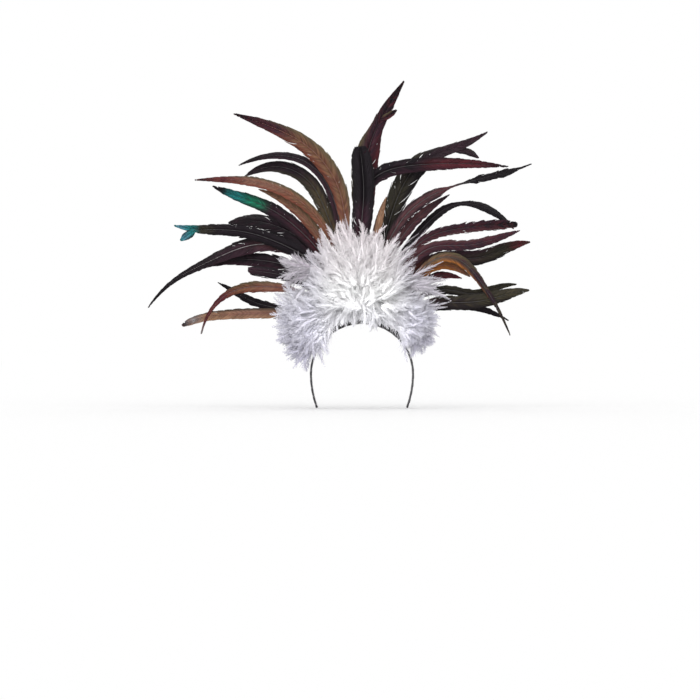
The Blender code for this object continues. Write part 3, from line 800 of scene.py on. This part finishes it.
def vane_material(feather, number):
    """Barbs: tones along the feather, edges of their own, streaks that follow the barbs."""
    made, tree, shader = new_material(feather.name + "_vane", "vane")
    along, across, _ = split(tree, read_map(tree, "OFBake"))
    strand = read_map(tree, "strand")
    colour = ramp(tree, along, tone_stops(feather.along))
    patches = stretched_noise(tree, strand, (0.13, 0.9, 1), detail=3, seed=number)
    shares = grey_ramp(tree, patches, ((0.42, 0), (0.62, feather.mix)))
    colour = mix_colours(tree, shares, colour, (*linear(feather.second), 1))
    edges = (feather.lower, feather.upper)
    for tone, stops in zip(edges[::-1] if "left" in feather.name else edges, VANE_EDGES):
        colour = mix_colours(tree, grey_ramp(tree, across, stops), colour, (*linear(tone), 1))
    streaks = stretched_noise(tree, strand, (1.1, 0.5, 1), detail=3, seed=number + 7)
    colour = multiply(tree, colour, grey_ramp(tree, streaks, STREAKS))
    rough = map_range(tree, streaks, (0.2, 0.8), VANE_ROUGHNESS)
    fine = stretched_noise(tree, strand, (2.6, 1.0, 1), detail=2, seed=number + 3)
    finish_surface(tree, shader, colour, fine, strength=0.5, depth=0.4 * MM, rough=rough)
    return made


def rib_material(tone):
    name = "rib_" + tone
    if name in bpy.data.materials:
        return bpy.data.materials[name]
    made, tree, shader = new_material(name, "rib")
    stops = [(at, tuple(level * share for level in linear(tone))) for at, share in RIB_SHADES]
    colour = ramp(tree, even_noise(tree, scale=220, detail=2), stops)
    tree.links.new(colour, shader.inputs["Base Color"])
    return made


def down_material(name):
    """White down with painted shade: lavender low down, darker and warmer at the top, darker and greyer on
    both sides.
    """
    made, tree, shader = new_material(name, "down")
    x, _, z = split(tree, add_node(tree, "ShaderNodeTexCoord").outputs["Object"])
    # Painted shade by height: lavender low down, white in the middle, darker and pinker at the top
    colour = ramp(tree, map_range(tree, z, DOWN_SHADE_HEIGHTS), DOWN_PAINTED_SHADE_BY_HEIGHT)
    # Painted shade: the sides darken towards a lavender grey
    sides = map_range(tree, calculate(tree, "ABSOLUTE", x), DOWN_SIDE_SHADE_SPAN, kind="SMOOTHSTEP")
    colour = mix_colours(tree, sides, colour, DOWN_SIDE_PAINTED_SHADE, "MULTIPLY")
    # Greyness: partly random grey of the feathers, partly painted shade on rows in shadow and on the
    # underside
    grey = split(tree, read_map(tree, "strand"))[0]
    colour = mix_colours(tree, grey, colour, DOWN_GREY_AND_SHADE_TONE)
    patches = even_noise(tree, scale=60, detail=3)
    colour = multiply(tree, colour, grey_ramp(tree, patches, DOWN_PATCHES))
    fine = even_noise(tree, scale=900, detail=2)
    finish_surface(tree, shader, colour, fine, strength=0.2, depth=0.3 * MM)
    return made


def satin_material():
    """Black satin with cross threads, and painted shadow and painted highlight at the hems of the ribbon's
    turns.
    """
    made, tree, shader = new_material("black_satin", "satin")
    strand = read_map(tree, "strand")
    along = split(tree, strand)[0]
    threads = stretched_noise(tree, strand, (0.5, 9.0, 1), detail=3)
    slubs = stretched_noise(tree, strand, (0.25, 0.6, 1), detail=2, seed=5)
    turn = calculate(tree, "FRACT", calculate(tree, "MULTIPLY", along, MM / WRAP_PITCH))
    # Painted shadow just past each turn's edge and a painted highlight along the raised hem
    colour = multiply(tree, ramp(tree, threads, SATIN_TONES), grey_ramp(tree, turn, HEM_HIGHLIGHT_AND_SHADOW))
    rough = map_range(tree, slubs, (0.3, 0.7), SATIN_ROUGHNESS)
    finish_surface(tree, shader, colour, threads, strength=0.35, depth=0.2 * MM, rough=rough)
    return made


def felt_material(name, tones):
    """Matt fibres in tones, with lighter and darker clouds."""
    made, tree, shader = new_material(name, "felt")
    fibres = even_noise(tree, scale=1400, detail=4)
    clouds = grey_ramp(tree, even_noise(tree, scale=120, detail=3), FELT_CLOUDS)
    colour = multiply(tree, ramp(tree, fibres, tones), clouds)
    finish_surface(tree, shader, colour, fibres, strength=0.7, depth=0.5 * MM)
    return made


def make_coque(feather, number):
    """A tail feather, and the branches of a forked one."""
    rng = np.random.default_rng(COQUE_SEED + number)
    headings = (feather.root, feather.quarter, feather.half, feather.late, feather.tip)
    slant = abs(sin(radians(feather.root - feather.seat)))
    seat = polar(pad_radius + CLEARANCE + slant * QUILL_WIDTH / 2, feather.seat)
    path = trace_path(seat, headings, feather.length * COQUE_LENGTH)
    builder = Builder()
    vane_barbs(builder, feather, path, VANES[feather.vane], feather.width * COQUE_WIDTH, rng)
    rib(builder, feather, path, RIB_WIDTH)
    for prong in PRONGS:
        if prong.feather == feather.name:
            x, z, heading = (float(value) for value in station(path, prong.at))
            bend = [heading + prong.turn + prong.curl * i / BEND_STEPS for i in range(BEND_STEPS + 1)]
            branch = trace_path((x, z), bend, prong.length * COQUE_LENGTH)
            vane_barbs(builder, feather, branch, PRONG_OUTLINE, prong.width * COQUE_WIDTH, rng, prong.at)
            rib(builder, feather, branch, PRONG_RIB)
    materials = [vane_material(feather, number), rib_material(feather.rib)]
    piece = builder.piece(feather.name + "_feather", materials)
    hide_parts(feather.name)
    return piece


def lock_line(tuft, ring, index):
    """Root, heading, curl, lean, length and half width of one of the frame's locks."""
    heading = ring.first + (ring.last - ring.first) * index / max(1, ring.count - 1)
    uneven = sin(LOCK_WAVES[0] * index + LOCK_WAVES[2] * ring.depth)
    curl = ring.curl + LOCK_CURL * cos(LOCK_WAVES[1] * index + LOCK_WAVES[2] * ring.depth)
    length = LOCK_LENGTH * ring.length * (1 + LOCK_UNEVEN * uneven)
    depth = -PAD_DEPTH / 2 - CLEARANCE - ring.depth * tuft.depth * pad_radius
    radius = tuft.radius * pad_radius * sqrt(1 - MOUND_FULLNESS * ring.depth**2)
    x, z = polar(LOCK_START * radius, heading)
    root = (x + tuft.across * pad_radius, depth, z + tuft.up * pad_radius)
    return root, heading, curl, ring.lean, length, LOCK_WIDTH * ring.width / 2


def down_row(rng, place, heading, lean, length, width, grey):
    """One small feather, with its own uneven lean, greyness, curl, roll and droop."""
    lean += rng.normal(*LEANS)
    grey += rng.uniform(*GREYS)
    return (*place, heading, lean, length, width, grey, *(rng.normal(*v) for v in (CURLS, ROLLS, DROOPS)))


def lean_to_hub(place, heading, pull):
    """A heading turned by the share pull towards the direction away from the fan's low hub."""
    away = atan2(place[2] - HUB[1] * pad_radius, place[0] - HUB[0] * pad_radius)
    own = radians(heading)
    x, z = ((1 - pull) * part(own) + pull * part(away) for part in (cos, sin))
    return degrees(atan2(z, x))


def lock_rows(rng, tuft):
    """Small feathers along the tuft's locks."""
    for ring in RINGS[tuft.name]:
        for index in range(ring.count):
            root, heading, curl, lean, length, half_width = lock_line(tuft, ring, index)
            rise = radians(lean)
            for share in rng.uniform(*LOCK_ROOTS, tuft.per_lock):
                way = heading + curl * share
                aside = rng.normal(*LOCK_ASIDE) * half_width * np.interp(share, *LOCK_OUTLINE)
                flat = cos(rise) * share * length
                angle = radians(heading + curl * share / 2)
                place = (
                    root[0] + flat * cos(angle) - aside * sin(radians(way)),
                    root[1] - sin(rise) * share * length + rng.uniform(*LOCK_DEPTHS) * MM,
                    root[2] + flat * sin(angle) + aside * cos(radians(way)),
                )
                size = DOWN_LENGTH * rng.uniform(*LOCK_SIZES)
                size = min(size, length * (1 - share) * rng.uniform(*LOCK_REST))
                turn = lean_to_hub(place, way, HUB_PULL * ring.depth) + rng.normal(*LOCK_HEADINGS)
                turn += aside / half_width * LOCK_TURN_OUT
                width = DOWN_WIDTH * rng.uniform(*LOCK_WIDTHS)
                yield down_row(rng, place, turn, lean * DOWN_FLAT, size, width, 0.0)


def spray_rows(rng, tuft):
    """Small feathers in the rows beside the tuft's locks."""
    for spray in SPRAYS[tuft.name]:
        for share in np.linspace(0, 1, spray.count):
            x = spray.x + (spray.x_end - spray.x) * share + rng.normal(*SPRAY_ASIDE)
            depth = spray.depth + rng.uniform(*SPRAY_DEPTHS)
            z = spray.z + (spray.z_end - spray.z) * share + rng.normal(*SPRAY_ASIDE)
            place = (pad_radius * x, -PAD_DEPTH / 2 - pad_radius * depth, PAD_RISE + pad_radius * z)
            heading = spray.heading + (spray.heading_end - spray.heading) * share
            heading += rng.normal(*SPRAY_HEADINGS)
            size = DOWN_LENGTH * spray.length * rng.uniform(*SPRAY_SIZES)
            width = DOWN_WIDTH * spray.width * rng.uniform(*SPRAY_WIDTHS)
            yield down_row(rng, place, heading, spray.lean, size, width, spray.grey)


def down_feathers(builder, rng, rows):
    """Closed vanes of all the small feathers, and then their barbs."""
    x, y, z, heading, lean, length, width, grey, curl, roll, droop = np.array(rows).T
    share = np.linspace(0, 1, DOWN_STATIONS)
    way = np.radians(heading[:, None] + curl[:, None] * share)
    rise = np.radians(lean[:, None] + droop[:, None] * share)
    ahead = points(np.cos(rise) * np.cos(way), -np.sin(rise), np.cos(rise) * np.sin(way))
    step = (length / (DOWN_STATIONS - 1))[:, None, None]
    gone = np.cumsum((ahead[:, 1:] + ahead[:, :-1]) / 2 * step, 1)
    line = points(x, y, z)[:, None] + np.concatenate((np.zeros((len(x), 1, 3)), gone), 1)
    flat = points(-np.sin(way), 0, np.cos(way))
    turned = np.radians(roll)[:, None, None]
    aside = flat * np.cos(turned) + np.cross(ahead, flat) * np.sin(turned)
    face = np.cross(ahead, aside)
    full = np.interp(share, *DOWN_VANE)
    left, right = (full * rng.uniform(*HALVES, way.shape) * width[:, None] / 2 for _ in range(2))
    middle = line + aside * ((left - right) * DOWN_CLOSED / 2)[..., None]
    half = aside * ((left + right) * DOWN_CLOSED / 2)[..., None]
    ridge = face * (DOWN_RIDGE * (1 - DOWN_RIDGE_LOSS * share))[:, None]
    add_down(builder, *slivers(middle, half, ridge), grey)
    down_barbs(builder, rng, (line, ahead, aside, face), length, width, grey)


def down_barbs(builder, rng, course, length, width, grey):
    """Loose barbs on both sides of small feathers that have a course of points and directions."""
    roots = np.linspace(*DOWN_ROOTS, DOWN_BARBS)
    pick = roots * (DOWN_STATIONS - 1)
    low = pick.astype(int)
    high = np.minimum(low + 1, DOWN_STATIONS - 1)
    part = (pick - low)[None, :, None]
    line, ahead, aside, face = ((v[:, low] * (1 - part) + v[:, high] * part)[:, :, None] for v in course)
    along = np.linspace(0, 1, DOWN_STEPS + 1)
    shape = (len(grey), DOWN_BARBS)
    slim = np.sqrt(width * length / (DOWN_WIDTH * DOWN_LENGTH))
    half = (DOWN_BARB_WIDTH / 2 * (1 + (DOWN_BARB_TIP - 1) * along**DOWN_BARB_TAPER))[None, :, None]
    half = half * np.repeat(slim, DOWN_BARBS)[:, None, None]
    full = width[:, None] / 2 / sin(radians(DOWN_REACH_ANGLE)) * np.interp(roots, *DOWN_FULLNESS)
    for side in (-1, 1):
        first = (rng.normal(*FIRST_ANGLES, shape) - FIRST_ANGLE_FALL * roots)[..., None]
        last = rng.normal(*LAST_ANGLES, shape)[..., None]
        reach = np.minimum(full * rng.uniform(*REACHES, shape), length[:, None] * DOWN_REACH_MOST)[..., None]
        angle = np.radians(first + (last - first) * (along[1:] + along[:-1]) / 2)
        forth, out = (
            np.concatenate((np.zeros((*shape, 1)), np.cumsum(way(angle) * reach / DOWN_STEPS, -1)), -1)
            for way in (np.cos, np.sin)
        )
        wave = rng.normal(*WAVES, (*shape, 1)) * along**WAVE_RISE * reach
        curve = line + ahead * forth[..., None] + aside * out[..., None] * side + face * wave[..., None]
        curve = curve.reshape(-1, DOWN_STEPS + 1, 3)
        normal = np.repeat(face.reshape(-1, 1, 3), DOWN_STEPS + 1, 1)
        wide = np.cross(normal, unit(np.gradient(curve, axis=1)))
        add_down(builder, *slivers(curve, wide * half, normal * half * DOWN_THICKNESS), grey)


def front_map(vertices):
    """Places on the map seen from the front."""
    return vertices[:, [0, 2]] / FRONT_MAP + FRONT_ORIGIN


def add_down(builder, vertices, faces, grey):
    """Adds white strands, mapped by their place seen from the front and by how grey they are."""
    tone = np.repeat(grey, len(vertices) // len(grey))
    builder.add(vertices, faces, front_map(vertices), points(tone, tone))


def core_mound(builder, tuft):
    """Domed underside of down on the pad's face, so that nothing shows through between feathers."""
    turns = corners_round(CORE_SIDES)
    rows = []
    for level in range(CORE_LEVELS + 1):
        share = level / CORE_LEVELS
        size = tuft.radius * pad_radius * sqrt(max(CORE_TOP, 1 - share**2)) * CORE_SIZE
        waves = (height * np.sin(number * turns + shift * level) for height, number, shift in CORE_RIPPLES)
        size = size * (1 + sum(waves))
        rows.append(points(
            tuft.across * pad_radius + size * np.cos(turns),
            -PAD_DEPTH / 2 - CLEARANCE - share * tuft.depth * pad_radius,
            PAD_RISE + tuft.up * pad_radius + size * np.sin(turns),
        ))
    add_down(builder, *closed_rings(np.array(rows)), np.array([CORE_GREY]))


def make_tuft(tuft, material):
    rng = np.random.default_rng(tuft.seed)
    builder = Builder()
    core_mound(builder, tuft)
    down_feathers(builder, rng, [*lock_rows(rng, tuft), *spray_rows(rng, tuft)])
    piece = builder.piece(tuft.name + "_down", [material])
    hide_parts(tuft.name)
    return piece


def band_line():
    """Lengths along the band's inside, its points in the fan's plane and the outward directions."""
    leg = BAND_HEIGHT - BAND_RADIUS
    arc = pi * BAND_RADIUS
    at = np.linspace(-arc / 2 - leg, arc / 2 + leg, BAND_STATIONS)
    angle = np.clip(at, -arc / 2, arc / 2) / BAND_RADIUS
    down = np.maximum(0, np.abs(at) - arc / 2)
    toe = BAND_TOE_IN * (down / leg) ** 2
    x = BAND_RADIUS * np.sin(angle) - np.sign(at) * toe
    z = BAND_RADIUS * np.cos(angle) - BAND_RADIUS - down
    slope = np.arctan(2 * BAND_TOE_IN * down / leg**2)
    return at, points(x, z), unit(points(np.sin(angle) * np.cos(slope), np.cos(angle) - np.sin(slope)))


def make_band():
    """The band in its wound satin ribbon."""
    at, inside, out = band_line()
    from_crown = np.abs(at) / at[-1]
    half_width = (BAND_WIDTH + (BAND_END_WIDTH - BAND_WIDTH) * from_crown**2) / 2
    close = np.minimum(1, (1 - from_crown) * at[-1] / (half_width * BAND_END_ROUNDING))
    half_width *= BAND_END + (1 - BAND_END) * np.sqrt(close * (2 - close))
    turns = (np.arange(BAND_SIDES) + 0.5) * 2 * pi / BAND_SIDES
    wide, thick = (np.sign(v) * np.abs(v) ** BAND_CORNER for v in (np.cos(turns), np.sin(turns)))
    along = at[:, None] + WRAP_SLANT * half_width[:, None] * wide * 2
    lift = WRAP_LIFT * ((along / WRAP_PITCH) % 1 - 0.5)
    depth = half_width[:, None] * wide
    height = BAND_THICKNESS / 2 * (1 + thick) + lift * thick
    x, z = (inside[:, None, axis] + out[:, None, axis] * height for axis in (0, 1))
    builder = Builder()
    vertices, faces = closed_rings(points(x, depth + lift * np.cos(turns), z))
    place = points(along / (at[-1] * 2) + 0.5, turns / (2 * pi)).reshape(-1, 2)
    builder.add(vertices, faces, place, points(along / MM, depth / MM).reshape(-1, 2))
    piece = builder.piece("band_ribbon", [satin_material()])
    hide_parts("headband")
    return piece


def pad_edges():
    """The pad's saddle edge and its rim from one horn to the other, as points of the fan's plane."""
    saddle = BAND_RADIUS + BAND_THICKNESS + CLEARANCE
    drop = BAND_RADIUS + PAD_RISE
    meet = (saddle**2 - pad_radius**2 - drop**2) / drop / 2
    horn = asin(meet / pad_radius)
    low = atan2(meet + drop, sqrt(pad_radius**2 - meet**2))
    share = (1 - np.cos(np.pi * np.linspace(*PAD_ENDS, PAD_SECTIONS))) / 2
    rim = horn + (pi - 2 * horn) * share
    seat = low + (pi - 2 * low) * share
    return (
        points(saddle * np.cos(seat), saddle * np.sin(seat) - BAND_RADIUS),
        points(pad_radius * np.cos(rim), PAD_RISE + pad_radius * np.sin(rim)),
    )


def rounded_cut(height, half, rounding):
    """Heights and depths round a cut through the pad, a rectangle with rounded corners."""
    turn = np.linspace(0, pi / 2, CORNER_POINTS)
    rise, fall = rounding * np.sin(turn), rounding * np.cos(turn)
    high, deep = height - rounding, half - rounding
    face = np.linspace(rounding, high, FACE_POINTS)[1:-1]
    up = np.concatenate((face, high + rise, high + fall))
    back = np.concatenate((np.full(len(face), -half), -deep - fall, deep + rise))
    return np.concatenate((up, height - up)), np.concatenate((back, -back))


def pad_stitches(edge, far, face):
    """Blanket stitches along one edge of one of the pad's faces, as closed threads."""
    at = np.concatenate(([0], np.cumsum(np.linalg.norm(np.diff(edge, axis=0), axis=1))))
    where = np.arange(STITCH_PITCH / 2, at[-1], STITCH_PITCH)
    spot, other = (points(*(np.interp(where, at, v) for v in line.T)) for line in (edge, far))
    room = np.linalg.norm(other - spot, axis=1) > STITCH_ROOM
    spot = spot[room]
    inward = unit(other[room] - spot)
    turn = np.linspace(0, pi / 2, STITCH_BEND)
    bend = FELT_ROUNDING + THREAD * STITCH_HEIGHTS[0]
    inset = FELT_ROUNDING + np.concatenate((-bend * np.cos(turn), STITCH_REACH * STITCH_ALONG))
    rise = np.concatenate((bend * np.sin(turn) - FELT_ROUNDING, THREAD * STITCH_HEIGHTS))
    flat = spot[:, None] + inward[:, None] * inset[:, None]
    line = points(flat[..., 0], face * (PAD_DEPTH / 2 + rise), flat[..., 1])
    aside = points(-inward[:, 1], 0, inward[:, 0])[:, None]
    side = np.broadcast_to(aside, line.shape) * -face * THREAD / 2
    return slivers(line, side, np.cross(unit(np.gradient(line, axis=1)), side))


def make_pad():
    """Felt crescent with rounded edges and blanket stitches round the edges of both faces."""
    saddle, rim = pad_edges()
    height = np.linalg.norm(rim - saddle, axis=1)
    rings = []
    for low, up, tall in zip(saddle, (rim - saddle) / height[:, None], height):
        rise, depth = rounded_cut(tall, PAD_DEPTH / 2, min(FELT_ROUNDING, tall * FELT_ROUNDING_MOST))
        flat = low + up * rise[:, None]
        rings.append(points(flat[:, 0], depth, flat[:, 1]))
    edges = ((rim, saddle), (saddle, rim))
    threads = [pad_stitches(edge, far, face) for edge, far in edges for face in (-1, 1)]
    builder = Builder()
    for slot, parts in enumerate(([closed_rings(np.array(rings))], threads)):
        for vertices, faces in parts:
            spots = front_map(vertices)
            builder.add(vertices, faces, spots, spots, slot)
    materials = [felt_material("black_felt", FELT_TONES), felt_material("black_thread", THREAD_TONES)]
    piece = builder.piece("pad_felt", materials)
    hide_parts("crest_pad")
    return piece


def make_stage():
    """Round pale floor under the band's ends."""
    turns = corners_round(FLOOR_SIDES)
    rim = points(FLOOR_RADIUS * np.cos(turns), FLOOR_RADIUS * np.sin(turns), cad_low.z - FLOOR_GAP)
    mesh = bpy.data.meshes.new("floor")
    mesh.from_pydata(rim.tolist(), [], [list(range(FLOOR_SIDES))])
    mesh.materials.append(new_material("floor_paper", "paper")[0])
    floor = add_object("floor", mesh)
    return floor


def add_light(light, floor):
    """Round soft light that leaves the floor to the even light all round, so that it shows no horizon."""
    data = bpy.data.lights.new(light.name, "AREA")
    data.shape = "DISK"
    data.size = light.size
    data.energy = light.power
    obj = add_object(light.name, data)
    obj.location = light.place
    obj.rotation_euler = (Vector(LIT_POINT) - obj.location).to_track_quat("-Z", "Y").to_euler()
    skipped = bpy.data.collections.new(light.name + "_skips")
    skipped.objects.link(floor)
    skipped.collection_objects[0].light_linking.link_state = "EXCLUDE"
    obj.light_linking.receiver_collection = skipped


def make_camera():
    data = bpy.data.cameras.new("camera")
    data.sensor_width = SENSOR
    data.lens = SENSOR * CAMERA_DISTANCE / VIEW_WIDTH
    data.clip_end = CAMERA_RANGE
    obj = add_object("camera", data)
    obj.location = (VIEW_CENTRE[0], -CAMERA_DISTANCE, VIEW_CENTRE[1])
    obj.rotation_euler = (pi / 2, 0, 0)
    bpy.context.scene.camera = obj


def make_world():
    """Even white light from all round."""
    world = bpy.data.worlds.new("studio")
    world.use_nodes = True
    background = world.node_tree.nodes["Background"]
    background.inputs["Color"].default_value = WHITE
    background.inputs["Strength"].default_value = 1.0
    bpy.context.scene.world = world
    bpy.context.scene.view_settings.view_transform = "Standard"


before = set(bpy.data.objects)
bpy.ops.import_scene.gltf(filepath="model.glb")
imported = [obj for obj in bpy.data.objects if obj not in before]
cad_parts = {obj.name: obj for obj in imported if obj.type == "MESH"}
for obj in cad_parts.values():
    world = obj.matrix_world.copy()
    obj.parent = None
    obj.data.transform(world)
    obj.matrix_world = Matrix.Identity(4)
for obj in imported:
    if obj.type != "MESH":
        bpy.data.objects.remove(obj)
cad_low, cad_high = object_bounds()
pad_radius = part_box("crest_pad")[1].x

make_camera()
make_world()
floor = make_stage()
for light in LIGHTS:
    add_light(light, floor)
for number, feather in enumerate(FEATHERS):
    piece = make_coque(feather, number)
    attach(piece, "root")
for piece in (make_band(), make_pad()):
    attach(piece, "root")
white = down_material("white_down")
for tuft in TUFTS:
    piece = make_tuft(tuft, white)
    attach(piece, "root")
